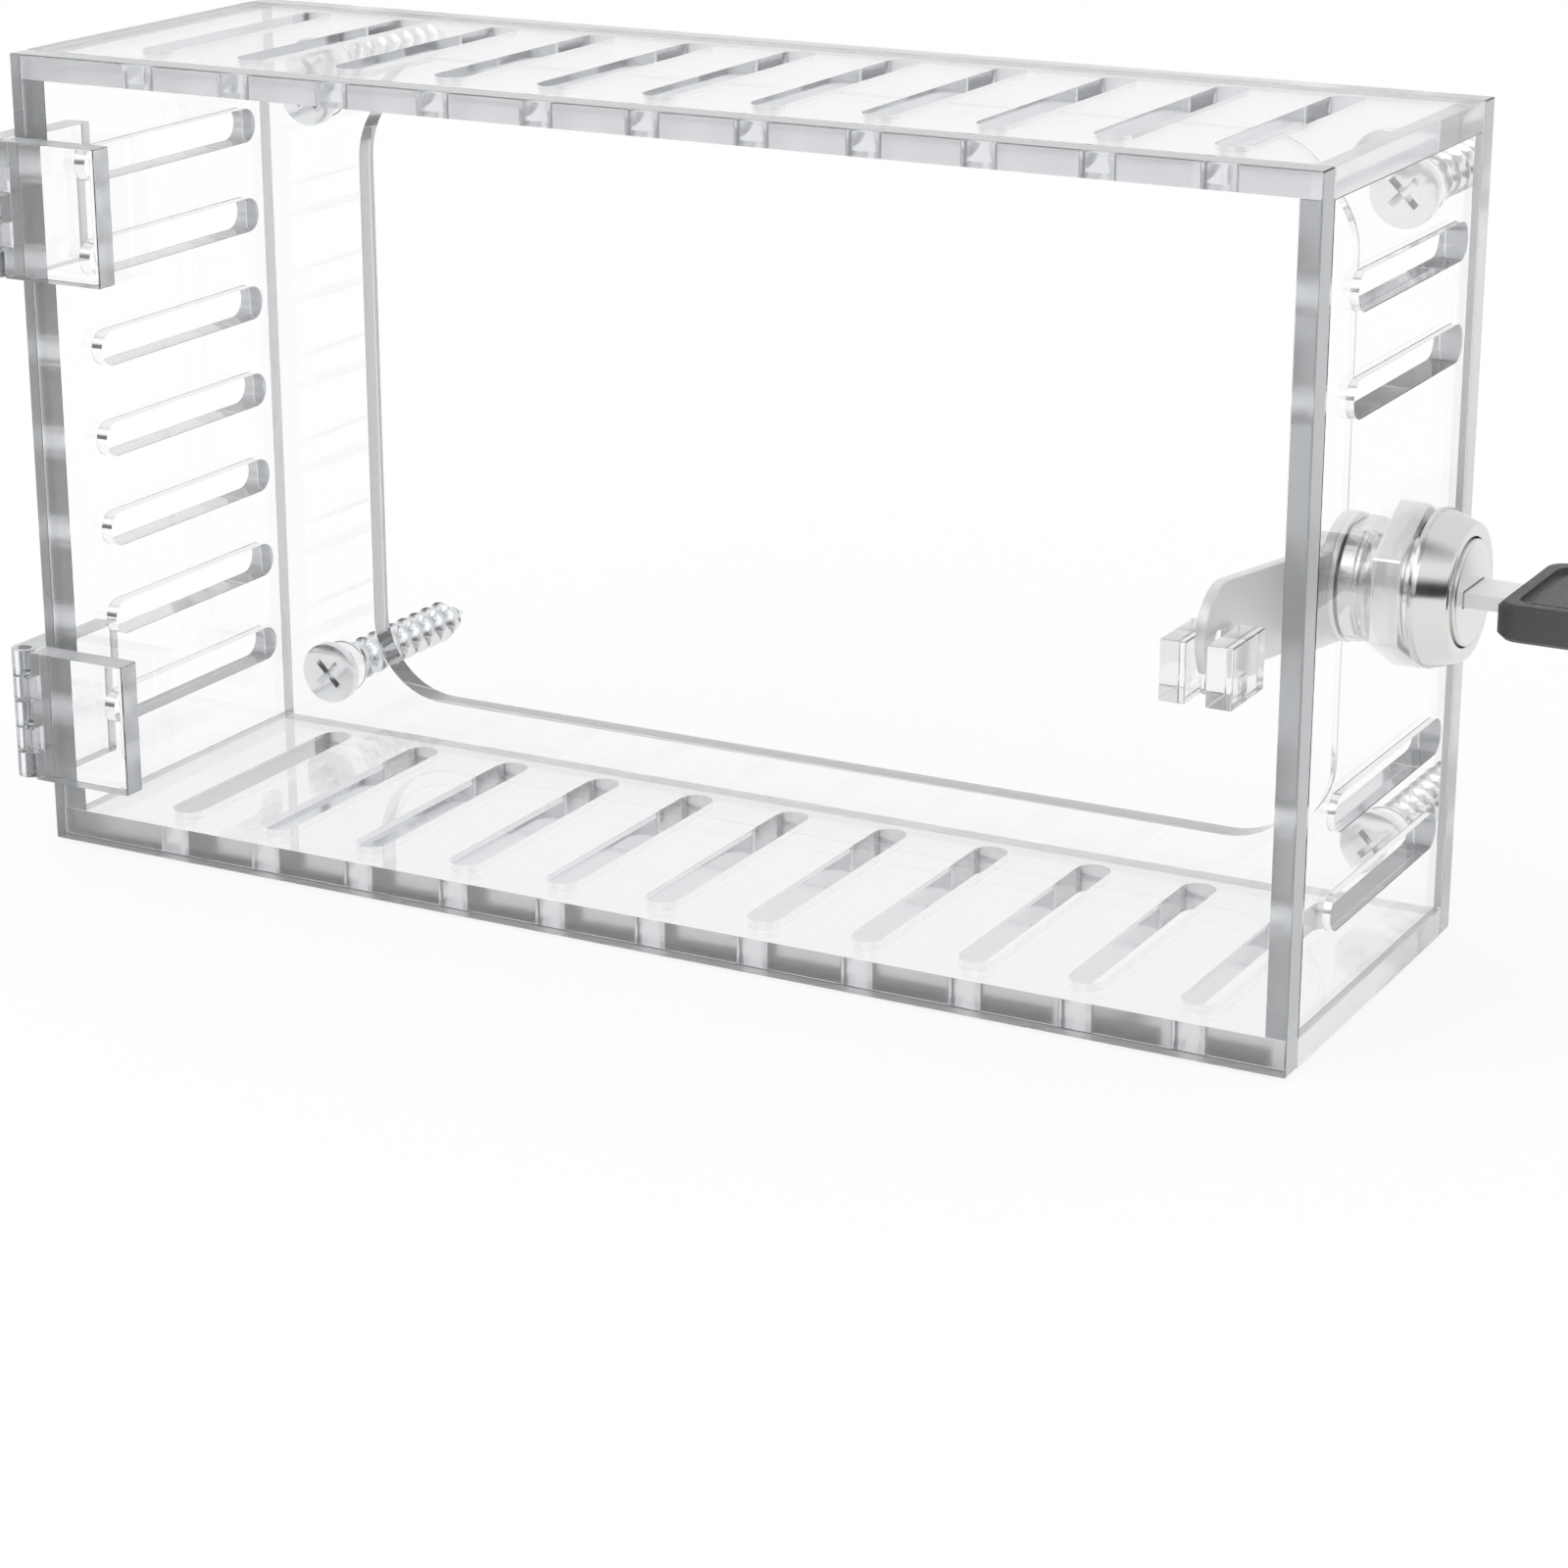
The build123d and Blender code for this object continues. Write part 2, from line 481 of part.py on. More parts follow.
def lock_cam():
    """Flat arm with a hooked end that drops over the catch bar."""
    reach = LOCK_Y - DOOR_INNER - HOOK_TO_DOOR
    notch_near = LOCK_Y - BAR_BACK_Y - NOTCH_BACK_CLEARANCE
    notch_far = LOCK_Y - BAR_FRONT_Y + NOTCH_FRONT_CLEARANCE
    notch_top = BAR_TOP_Z + NOTCH_ABOVE_BAR - LOCK_Z
    point = CATCH_BOTTOM_Z - HOOK_BELOW_BAR - LOCK_Z
    nose_at = reach - HOOK_NOSE_RADIUS
    middle = (ARM_TOP - ARM_BOTTOM) / 2
    arm = Pos(nose_at / 2, middle) * Rectangle(nose_at, ARM_TOP + ARM_BOTTOM)
    nose = Pos(nose_at, ARM_TOP - HOOK_NOSE_RADIUS) * Circle(HOOK_NOSE_RADIUS)
    band = Pos(reach / 2, middle) * Rectangle(2 * reach, ARM_TOP + ARM_BOTTOM)
    plate = (arm + nose) & band
    notch_depth = notch_top + ARM_BOTTOM
    notch = Rectangle(notch_far - notch_near, 2 * notch_depth)
    notch = Pos((notch_near + notch_far) / 2, notch_top - notch_depth) * notch
    notch = fillet(notch.vertices().group_by(Axis.Y)[-1], NOTCH_CORNER_RADIUS)
    below_point = Rectangle(2 * (reach - notch_near), 2 * (point + ARM_BOTTOM))
    plate = plate - notch - Pos(reach, -ARM_BOTTOM) * below_point
    hub = Circle(CAM_HUB_RADIUS)
    outline = plate + hub - Rectangle(TAIL_SQUARE, TAIL_SQUARE)
    return on_arm(outline, CAM_INNER_X, CAM_OUTER_X)


def cam_washer():
    ring = Circle(WASHER_DIAMETER / 2) - Circle(CAM_SCREW_DIAMETER / 2)
    return along_x(ring, CAM_INNER_X - WASHER_THICKNESS, CAM_INNER_X)


def cam_screw():
    """Pan-head screw that pulls the cam and its washers against the plug."""
    under_head = CAM_INNER_X - WASHER_THICKNESS
    head = disc_x(CAM_SCREW_HEAD_DIAMETER, under_head - CAM_SCREW_HEAD_HEIGHT, under_head)
    head = chamfer(head.edges().group_by(Axis.X)[0], CAM_SCREW_HEAD_CHAMFER)
    screw = head + disc_x(CAM_SCREW_DIAMETER, under_head, under_head + CAM_SCREW_LENGTH)
    recess_x = under_head - CAM_SCREW_HEAD_HEIGHT
    bar = Rectangle(CAM_SCREW_RECESS_SPAN, CAM_SCREW_RECESS_WIDTH)
    cross = bar + Rot(0, 0, 90) * bar
    return screw - on_arm(cross, recess_x - 1, recess_x + CAM_SCREW_RECESS_DEPTH)


# ---------------------------------------------------------------- key
def key_blade():
    """Flat blade, cut on both edges where it meets the wafers."""
    blade_end = BOW_X + BLADE_IN_BOW
    half = BLADE_WIDTH / 2
    outline = Pos((BLADE_TIP_X + blade_end) / 2, 0) * Rectangle(blade_end - BLADE_TIP_X, BLADE_WIDTH)
    outline = chamfer(outline.vertices().group_by(Axis.X)[0], BLADE_TIP_CHAMFER)
    foot = BLADE_CUT_WIDTH / 4
    mouth = BLADE_CUT_WIDTH / 2
    for side, depths in ((-1, LOWER_CUT_DEPTHS), (1, UPPER_CUT_DEPTHS)):
        for x, depth in zip(wafer_places(), depths):
            spread = mouth + depth / 2
            notch = Polyline(
                (x - spread, side * half), (x - foot, side * (half - depth)),
                (x + foot, side * (half - depth)), (x + spread, side * half), close=True)
            outline -= make_face(notch)
    blade = extrude(outline, BLADE_THICKNESS / 2, both=True)
    return Pos(0, LOCK_Y, LOCK_Z) * blade


def key_bow():
    """Moulded grip round the end of the blade, with a panel sunk in each face and a ring hole."""
    outline = Pos(BOW_X + BOW_LENGTH / 2, 0) * Rectangle(BOW_LENGTH, BOW_WIDTH)
    outline = fillet(outline.vertices().group_by(Axis.X)[0], BOW_SHOULDER_RADIUS)
    outline = fillet(outline.vertices().sort_by(Axis.X)[-2:], BOW_END_RADIUS)
    bow = extrude(outline, BOW_THICKNESS / 2, both=True)
    bow = chamfer(bow.edges().group_by(Axis.Z)[0] + bow.edges().group_by(Axis.Z)[-1], BOW_EDGE_CHAMFER)
    hole_x = BOW_X + BOW_LENGTH - RING_HOLE_FROM_END - RING_HOLE_WIDTH / 2
    panel_end = hole_x - RING_HOLE_WIDTH / 2 - BOW_RIM / 2
    panel_start = BOW_X + BOW_RIM
    middle_x = (panel_start + panel_end) / 2
    panel_length = panel_end - panel_start
    panel_width = BOW_WIDTH - 2 * BOW_RIM
    panel = RectangleRounded(panel_length, panel_width, BOW_SHOULDER_RADIUS - BOW_RIM / 2)
    pad = Rectangle(panel_length - 2 * BOW_PAD_INSET, panel_width - 2 * BOW_PAD_INSET)
    recess = extrude(panel, BOW_PANEL_RECESS, both=True) - extrude(pad, BOW_PANEL_RECESS, both=True)
    above_pad = extrude(pad, BOW_PANEL_RECESS - BOW_PAD_HEIGHT, both=True)
    for side in (-1, 1):
        bow -= Pos(middle_x, 0, side * BOW_THICKNESS / 2) * (recess + above_pad)
    ring_hole = Pos(hole_x, 0) * Rot(0, 0, 90) * SlotOverall(RING_HOLE_LENGTH, RING_HOLE_WIDTH)
    bow -= extrude(ring_hole, BOW_THICKNESS, both=True)
    return Pos(0, LOCK_Y, LOCK_Z) * bow - key_blade()


# ---------------------------------------------------------------- all pieces
PIECES = {
    "back_frame": back_frame(),
    "top_panel": slotted_cover(HEIGHT / 2, -1),
    "bottom_panel": slotted_cover(-HEIGHT / 2, 1),
    "hinge_side_panel": slotted_side(-WIDTH / 2, 1, 0),
    "lock_side_panel": lock_side_panel(),
    "mounting_screws": mounting_screws(),
    "hinge_wall_leaf_upper": wall_leaf(UPPER_HINGE_Z),
    "hinge_wall_leaf_lower": wall_leaf(LOWER_HINGE_Z),
    "hinge_pin_upper": hinge_pin(UPPER_HINGE_Z),
    "hinge_pin_lower": hinge_pin(LOWER_HINGE_Z),
    "door_panel": door_panel(),
    "hinge_door_leaf_upper": door_leaf(UPPER_HINGE_Z),
    "hinge_door_leaf_lower": door_leaf(LOWER_HINGE_Z),
    "catch_cheek_inner": catch_cheek(-1),
    "catch_cheek_outer": catch_cheek(1),
    "catch_bar": catch_bar(),
    "lock_body": lock_body(),
    "lock_nut": lock_nut(),
    "lock_plug": lock_plug(),
    "lock_wafers": lock_wafers(),
    "wafer_springs": wafer_springs(),
    "stop_washer": stop_washer(),
    "lock_cam": lock_cam(),
    "cam_washer": cam_washer(),
    "cam_screw": cam_screw(),
    "key_blade": key_blade(),
    "key_bow": key_bow(),
}

os.makedirs("parts", exist_ok=True)
for name, shape in PIECES.items():
    export_step(shape, f"parts/{name}.step")
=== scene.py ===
from math import cos, pi, radians, sin, tau

import bmesh
import bpy
from mathutils import Matrix, Vector


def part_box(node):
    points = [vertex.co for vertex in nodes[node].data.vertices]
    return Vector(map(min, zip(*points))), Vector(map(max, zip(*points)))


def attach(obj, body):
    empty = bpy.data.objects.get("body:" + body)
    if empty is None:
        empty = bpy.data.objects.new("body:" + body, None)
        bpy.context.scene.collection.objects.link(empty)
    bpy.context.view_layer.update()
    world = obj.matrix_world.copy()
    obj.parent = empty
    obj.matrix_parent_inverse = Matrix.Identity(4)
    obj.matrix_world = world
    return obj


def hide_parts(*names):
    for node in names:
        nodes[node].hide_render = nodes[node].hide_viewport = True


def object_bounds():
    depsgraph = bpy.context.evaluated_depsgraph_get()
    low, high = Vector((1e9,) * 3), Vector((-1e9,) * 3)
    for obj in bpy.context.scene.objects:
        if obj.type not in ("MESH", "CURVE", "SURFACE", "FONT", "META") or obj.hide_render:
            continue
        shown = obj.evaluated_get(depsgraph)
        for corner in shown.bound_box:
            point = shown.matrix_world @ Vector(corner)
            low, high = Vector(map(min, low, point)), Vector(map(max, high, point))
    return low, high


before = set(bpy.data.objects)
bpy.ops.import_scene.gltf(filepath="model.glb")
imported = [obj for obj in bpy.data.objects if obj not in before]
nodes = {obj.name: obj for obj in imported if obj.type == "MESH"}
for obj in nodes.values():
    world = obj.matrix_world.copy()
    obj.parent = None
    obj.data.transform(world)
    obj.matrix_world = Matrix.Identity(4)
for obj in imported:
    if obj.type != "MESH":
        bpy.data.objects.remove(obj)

scene = bpy.context.scene
cad_box = [list(corner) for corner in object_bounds()]
mm = 0.001


# ---------------------------------------------------------------------------
# Camera.  Stands in front and to the right, a little above the lid, with a
# long lens, so the door, the top and the lock side all show.
# ---------------------------------------------------------------------------
camera_data = bpy.data.cameras.new("camera")
camera_data.sensor_width = 36.0
camera_data.lens = 93.284
camera_data.clip_start = 0.02
camera_data.clip_end = 50.0
camera = bpy.data.objects.new("camera", camera_data)
scene.collection.objects.link(camera)
camera_right = Vector((0.881394, 0.472381, -0.000127))
camera_up = Vector((-0.152301, 0.284425, 0.946524))
camera_back = Vector((0.447156, -0.834241, 0.322634))
camera_place = Vector((0.266617, -0.512324, 0.144242))
camera.matrix_world = Matrix((
    (camera_right.x, camera_up.x, camera_back.x, camera_place.x),
    (camera_right.y, camera_up.y, camera_back.y, camera_place.y),
    (camera_right.z, camera_up.z, camera_back.z, camera_place.z),
    (0.0, 0.0, 0.0, 1.0),
))
scene.camera = camera
scene.view_settings.view_transform = "Standard"


# ---------------------------------------------------------------------------
# Studio.  A white room, with a dark band at eye level in front of the box for
# bright metal to reflect.  What the camera sees past or through it is white.
# ---------------------------------------------------------------------------
world = bpy.data.worlds.new("white_studio")
scene.world = world
world.use_nodes = True
tree = world.node_tree
tree.nodes.clear()
output = tree.nodes.new("ShaderNodeOutputWorld")
room = tree.nodes.new("ShaderNodeBackground")
backdrop = tree.nodes.new("ShaderNodeBackground")
backdrop.inputs["Color"].default_value = (1.0, 1.0, 1.0, 1.0)
path = tree.nodes.new("ShaderNodeLightPath")
choose = tree.nodes.new("ShaderNodeMixShader")
direction = tree.nodes.new("ShaderNodeTexCoord")
split = tree.nodes.new("ShaderNodeSeparateXYZ")
tree.links.new(direction.outputs["Generated"], split.inputs[0])
behind_camera = tree.nodes.new("ShaderNodeMapRange")
behind_camera.interpolation_type = "SMOOTHSTEP"
behind_camera.inputs["From Min"].default_value = 0.10
behind_camera.inputs["From Max"].default_value = -0.30
tree.links.new(split.outputs["Y"], behind_camera.inputs["Value"])
height = tree.nodes.new("ShaderNodeMapRange")
height.inputs["From Min"].default_value = -1.0
tree.links.new(split.outputs["Z"], height.inputs["Value"])
bands = tree.nodes.new("ShaderNodeValToRGB")
stops = bands.color_ramp.elements
stops[0].position = 0.14
stops[0].color = (0.50, 0.50, 0.51, 1.0)
stops[1].position = 0.28
stops[1].color = (1.0, 1.0, 1.0, 1.0)
for position, level in ((0.40, 1.0), (0.47, 0.04), (0.64, 0.04), (0.73, 1.0), (0.84, 1.0), (0.95, 0.35)):
    stop = stops.new(position)
    stop.color = (level, level * 1.01, level * 1.03, 1.0)
tree.links.new(height.outputs[0], bands.inputs["Fac"])
tone = tree.nodes.new("ShaderNodeMix")
tone.data_type = "RGBA"
tone.inputs["A"].default_value = (0.90, 0.90, 0.90, 1.0)
tree.links.new(behind_camera.outputs[0], tone.inputs["Factor"])
tree.links.new(bands.outputs["Color"], tone.inputs["B"])
tree.links.new(tone.outputs["Result"], room.inputs["Color"])
tree.links.new(path.outputs["Is Glossy Ray"], choose.inputs[0])
tree.links.new(backdrop.outputs[0], choose.inputs[1])
tree.links.new(room.outputs[0], choose.inputs[2])
tree.links.new(choose.outputs[0], output.inputs["Surface"])

for name, size, energy, spot in (
        ("softbox", 0.6, 1.2, (-0.35, -0.55, 0.75)),
        ("front_fill", 0.8, 1.0, (0.10, -0.95, 0.42))):
    light_data = bpy.data.lights.new(name, "AREA")
    light_data.shape = "RECTANGLE"
    light_data.size = size
    light_data.size_y = size
    light_data.energy = energy
    light = bpy.data.objects.new(name, light_data)
    light.location = spot
    light.rotation_euler = (-light.location).to_track_quat("-Z", "Y").to_euler()
    scene.collection.objects.link(light)

# White paper the box stands over: it shows as plain white with a soft shadow.
floor_level = cad_box[0][2] - 0.5 * mm
floor_edge = 4.0
floor_mesh = bpy.data.meshes.new("floor")
floor_mesh.from_pydata(
    [(-floor_edge, -floor_edge, floor_level), (floor_edge, -floor_edge, floor_level),
     (floor_edge, floor_edge, floor_level), (-floor_edge, floor_edge, floor_level)],
    [], [(0, 1, 2, 3)])
floor = bpy.data.objects.new("floor", floor_mesh)
scene.collection.objects.link(floor)
paper = bpy.data.materials.new("white_paper")
paper.use_nodes = True
tree = paper.node_tree
tree.nodes.clear()
output = tree.nodes.new("ShaderNodeOutputMaterial")
matte = tree.nodes.new("ShaderNodeBsdfDiffuse")
matte.inputs["Color"].default_value = (0.95, 0.95, 0.95, 1.0)
glow = tree.nodes.new("ShaderNodeEmission")
path = tree.nodes.new("ShaderNodeLightPath")
seen = tree.nodes.new("ShaderNodeMath")
seen.operation = "MAXIMUM"
through = tree.nodes.new("ShaderNodeMath")
through.operation = "MAXIMUM"
tree.links.new(path.outputs["Is Transmission Ray"], through.inputs[0])
tree.links.new(path.outputs["Is Glossy Ray"], through.inputs[1])
tree.links.new(path.outputs["Is Camera Ray"], seen.inputs[0])
tree.links.new(through.outputs[0], seen.inputs[1])
share = tree.nodes.new("ShaderNodeMath")
share.operation = "MULTIPLY"
share.inputs[1].default_value = 0.85
tree.links.new(seen.outputs[0], share.inputs[0])
mixed = tree.nodes.new("ShaderNodeMixShader")
tree.links.new(share.outputs[0], mixed.inputs[0])
tree.links.new(matte.outputs[0], mixed.inputs[1])
tree.links.new(glow.outputs[0], mixed.inputs[2])
tree.links.new(mixed.outputs[0], output.inputs["Surface"])
floor_mesh.materials.append(paper)


# ---------------------------------------------------------------------------
# Clear sheets: back frame, top, bottom, two sides and the door.  Cast acrylic
# about 4 mm thick, laser cut and cemented; faces polished.  The cut edges are
# painted grey: painted shade for the reflections seen in a clear edge.
# ---------------------------------------------------------------------------
def group_input(group, name, value, kind="NodeSocketFloat"):
    socket = group.interface.new_socket(name=name, in_out="INPUT", socket_type=kind)
    socket.default_value = value
    return socket


def handling_marks():
    """Faint wipe marks: roughness between two values, and a normal with a slight ripple."""
    group = bpy.data.node_groups.new("handling_marks", "ShaderNodeTree")
    group_input(group, "Scale", 60.0)
    group_input(group, "Stretch", (1.0, 1.0, 1.0), "NodeSocketVector")
    group_input(group, "Low", 0.0)
    group_input(group, "High", 0.1)
    group_input(group, "Ripple", 0.0)
    group.interface.new_socket(name="Roughness", in_out="OUTPUT", socket_type="NodeSocketFloat")
    group.interface.new_socket(name="Normal", in_out="OUTPUT", socket_type="NodeSocketVector")
    enter = group.nodes.new("NodeGroupInput")
    leave = group.nodes.new("NodeGroupOutput")
    place = group.nodes.new("ShaderNodeTexCoord")
    stretch = group.nodes.new("ShaderNodeVectorMath")
    stretch.operation = "MULTIPLY"
    group.links.new(place.outputs["Object"], stretch.inputs[0])
    group.links.new(enter.outputs["Stretch"], stretch.inputs[1])
    cloud = group.nodes.new("ShaderNodeTexNoise")
    cloud.inputs["Detail"].default_value = 3.0
    group.links.new(stretch.outputs[0], cloud.inputs["Vector"])
    group.links.new(enter.outputs["Scale"], cloud.inputs["Scale"])
    spread = group.nodes.new("ShaderNodeMapRange")
    spread.inputs["From Min"].default_value = 0.3
    spread.inputs["From Max"].default_value = 0.7
    group.links.new(cloud.outputs["Fac"], spread.inputs["Value"])
    group.links.new(enter.outputs["Low"], spread.inputs["To Min"])
    group.links.new(enter.outputs["High"], spread.inputs["To Max"])
    group.links.new(spread.outputs[0], leave.inputs["Roughness"])
    bump = group.nodes.new("ShaderNodeBump")
    bump.inputs["Distance"].default_value = 0.0002
    group.links.new(enter.outputs["Ripple"], bump.inputs["Strength"])
    group.links.new(cloud.outputs["Fac"], bump.inputs["Height"])
    group.links.new(bump.outputs[0], leave.inputs["Normal"])
    return group


marks = handling_marks()


def new_material(name):
    material = bpy.data.materials.new(name)
    material.use_nodes = True
    return material, material.node_tree, material.node_tree.nodes["Principled BSDF"]


def clear_plastic(name, colour, clearness, low, high):
    """Clear plastic; clearness under 1 leaves a share of milky surface, which with a grey colour paints shade on the
    cut edges and slot walls.
    """
    material, tree, surface = new_material(name)
    surface.inputs["Base Color"].default_value = (*colour, 1.0)
    surface.inputs["IOR"].default_value = 1.49
    surface.inputs["Transmission Weight"].default_value = clearness
    wiped = tree.nodes.new("ShaderNodeGroup")
    wiped.node_tree = marks
    wiped.inputs["Scale"].default_value = 14.0
    wiped.inputs["Low"].default_value = low
    wiped.inputs["High"].default_value = high
    tree.links.new(wiped.outputs["Roughness"], surface.inputs["Roughness"])
    return material


def dress(node, material, edge=0.0, gap=0.0):
    """Finish a node that comes from the solids: its material, softened edges, and a hair of air round it."""
    piece = nodes[node]
    piece.data.materials.clear()
    piece.data.materials.append(material)
    weld = piece.modifiers.new("weld", "WELD")
    weld.merge_threshold = 0.001 * mm
    whole_faces = piece.modifiers.new("whole_faces", "DECIMATE")
    whole_faces.decimate_type = "DISSOLVE"
    whole_faces.angle_limit = radians(0.5)
    whole_faces.delimit = {"MATERIAL"}
    if gap:
        ease = piece.modifiers.new("ease", "DISPLACE")
        ease.mid_level = 0.0
        ease.strength = -gap
    if edge:
        round_edges = piece.modifiers.new("round_edges", "BEVEL")
        round_edges.width = edge
        round_edges.segments = 2
        round_edges.limit_method = "ANGLE"
        round_edges.angle_limit = radians(50)
        round_edges.material = 0
        smooth = piece.modifiers.new("smooth", "WEIGHTED_NORMAL")
        smooth.weight = 50
    return piece


polished = clear_plastic("polished_face", (0.993, 0.996, 1.0), 1.0, 0.0, 0.012)
# The cut rim's grey colour and milky share are painted shade for the reflections seen in a clear edge.
cut_edge_painted_shade = clear_plastic("cut_edge_painted_shade", (0.88, 0.90, 0.92), 0.5, 0.24, 0.32)
# The slot walls' grey colour is painted shade as well, lighter than the cut rim; the hinge pins wear it too.
slot_wall_painted_shade = clear_plastic("slot_wall_painted_shade", (0.86, 0.87, 0.89), 0.95, 0.06, 0.10)


def dress_sheet(node, across, edge, rim=cut_edge_painted_shade):
    """Clear sheet, thin along the axis numbered across: polished faces, a cut rim and slot walls."""
    piece = dress(node, polished, edge, gap=0.03 * mm)
    piece.data.materials.append(rim)
    piece.data.materials.append(slot_wall_painted_shade)
    low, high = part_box(node)
    for face in piece.data.polygons:
        if abs(face.normal[across]) < 0.5:
            outside = any(
                min(abs(face.center[axis] - low[axis]), abs(face.center[axis] - high[axis])) < 0.05 * mm
                for axis in range(3) if axis != across)
            face.material_index = 1 if outside else 2


for name, across in (("back_frame", 1), ("door_panel", 1), ("hinge_side_panel", 0), ("lock_side_panel", 0)):
    dress_sheet(name, across, edge=0.2 * mm)
# The rims of the top and bottom are painted shade too, lighter than the other cut edges.
# The slots of the top and bottom lie close behind their front edges, and show through them.
dress_sheet("top_panel", 2, edge=0.2 * mm, rim=clear_plastic("top_edge_painted_shade", (0.94, 0.95, 0.97), 0.80, 0.12, 0.16))
dress_sheet("bottom_panel", 2, edge=0.2 * mm, rim=clear_plastic("bottom_edge_painted_shade", (0.97, 0.98, 0.99), 0.64, 0.12, 0.16))


# ---------------------------------------------------------------------------
# Hinges.  Two clear moulded butt hinges: one leaf on the side of the box, one
# on the face of the door, five knuckles and a clear pin.
# ---------------------------------------------------------------------------
for place in ("upper", "lower"):
    dress_sheet("hinge_door_leaf_" + place, 1, edge=0.15 * mm)
    dress_sheet("hinge_wall_leaf_" + place, 0, edge=0.15 * mm)
    dress("hinge_pin_" + place, slot_wall_painted_shade, edge=0.1 * mm, gap=0.02 * mm)


# ---------------------------------------------------------------------------
# Catch.  Two clear blocks and a small bar cemented to the inside of the door,
# where the hook of the lock drops over the bar.
# ---------------------------------------------------------------------------
catch_clear = clear_plastic("clear_block", (0.96, 0.96, 0.97), 1.0, 0.08, 0.12)
for name in ("catch_cheek_inner", "catch_cheek_outer", "catch_bar"):
    dress(name, catch_clear, edge=0.2 * mm, gap=0.03 * mm)


# ---------------------------------------------------------------------------
# Lock body.  Die-cast bezel and threaded barrel in satin nickel plate, with
# two flats that key it in the panel and a notch that limits the turn.
# ---------------------------------------------------------------------------
def plated(name, colour, low, high, scale=400.0, stretch=(1.0, 1.0, 1.0), ripple=0.0):
    """Plated metal with fine grain in its gloss."""
    material, tree, surface = new_material(name)
    surface.inputs["Base Color"].default_value = (*colour, 1.0)
    surface.inputs["Metallic"].default_value = 1.0
    grain = tree.nodes.new("ShaderNodeGroup")
    grain.node_tree = marks
    grain.inputs["Scale"].default_value = scale
    grain.inputs["Stretch"].default_value = stretch
    grain.inputs["Low"].default_value = low
    grain.inputs["High"].default_value = high
    grain.inputs["Ripple"].default_value = ripple
    tree.links.new(grain.outputs["Roughness"], surface.inputs["Roughness"])
    tree.links.new(grain.outputs["Normal"], surface.inputs["Normal"])
    return material


def even_row(along, radius, segments):
    """One level turn of a lathe: the same place and radius all the way round."""
    return [(along, radius)] * (segments + 1)


def thread_rows(start, end, pitch, profile, radius_at, segments):
    """Rows of a helical thread: profile holds (share of the pitch, share of the depth)."""
    rows = []
    for turn in range(-1, int((end - start) / pitch) + 2):
        for step, depth in profile:
            row = []
            for k in range(segments + 1):
                along = start + (turn + step + k / segments) * pitch
                fade = min((along - start) / pitch, (end - along) / pitch, 1.0)
                along = min(max(along, start), end)
                row.append((along, radius_at(along, depth * max(fade, 0.0))))
            rows.append(row)
    return rows


def skin(name, rows, place):
    """Mesh over rows of (along, radius), which place(along, radius, angle) sets in space."""
    shape = bmesh.new()
    segments = len(rows[0]) - 1
    loops = [
        [shape.verts.new(place(along, radius, tau * k / segments)) for k, (along, radius) in enumerate(row)]
        for row in rows
    ]
    for low, high in zip(loops, loops[1:]):
        for k in range(segments):
            shape.faces.new((low[k], low[k + 1], high[k + 1], high[k]))
    bmesh.ops.remove_doubles(shape, verts=shape.verts, dist=0.002 * mm)
    bmesh.ops.dissolve_degenerate(shape, edges=shape.edges, dist=0.002 * mm)
    bmesh.ops.recalc_face_normals(shape, faces=shape.faces)
    for face in shape.faces:
        face.smooth = True
    for edge in shape.edges:
        if len(edge.link_faces) == 2 and edge.calc_face_angle() > radians(35):
            edge.smooth = False
    mesh = bpy.data.meshes.new(name)
    shape.to_mesh(mesh)
    shape.free()
    piece = bpy.data.objects.new(name, mesh)
    scene.collection.objects.link(piece)
    return piece


low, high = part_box("lock_body")
lock_y = (low.y + high.y) / 2
lock_z = (low.z + high.z) / 2
barrel_end = low.x
bezel_front = high.x
bezel_radius = (high.y - low.y) / 2
panel_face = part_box("lock_side_panel")[1].x
barrel_flat = 7.75 * mm
band_radius = 8.75 * mm
thread_root = 8.30 * mm
thread_crest = 8.95 * mm
thread_start = barrel_end + 2.6 * mm
bore_radius = 6.35 * mm
recess_radius = 7.4 * mm
recess_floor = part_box("lock_plug")[1].x - 2.5 * mm
notch_from, notch_to = radians(121.7), radians(238.3)
notch_radius = 6.9 * mm
notch_depth = 1.5 * mm


def place_on_lock(along, radius, angle):
    """Angle 0 looks at the door and turns upwards; the barrel is flat above and below."""
    up = radius * sin(angle)
    if along < panel_face - 0.01 * mm:
        up = min(max(up, -barrel_flat), barrel_flat)
    return Vector((along, lock_y - radius * cos(angle), lock_z + up))


def notched_row(along, radius):
    """Turn of the barrel's inner end, where the stop washer's tooth runs in a notch."""
    angles = [tau * k / 96 for k in range(97)]
    return [(along, notch_radius if notch_from < angle < notch_to else radius) for angle in angles]


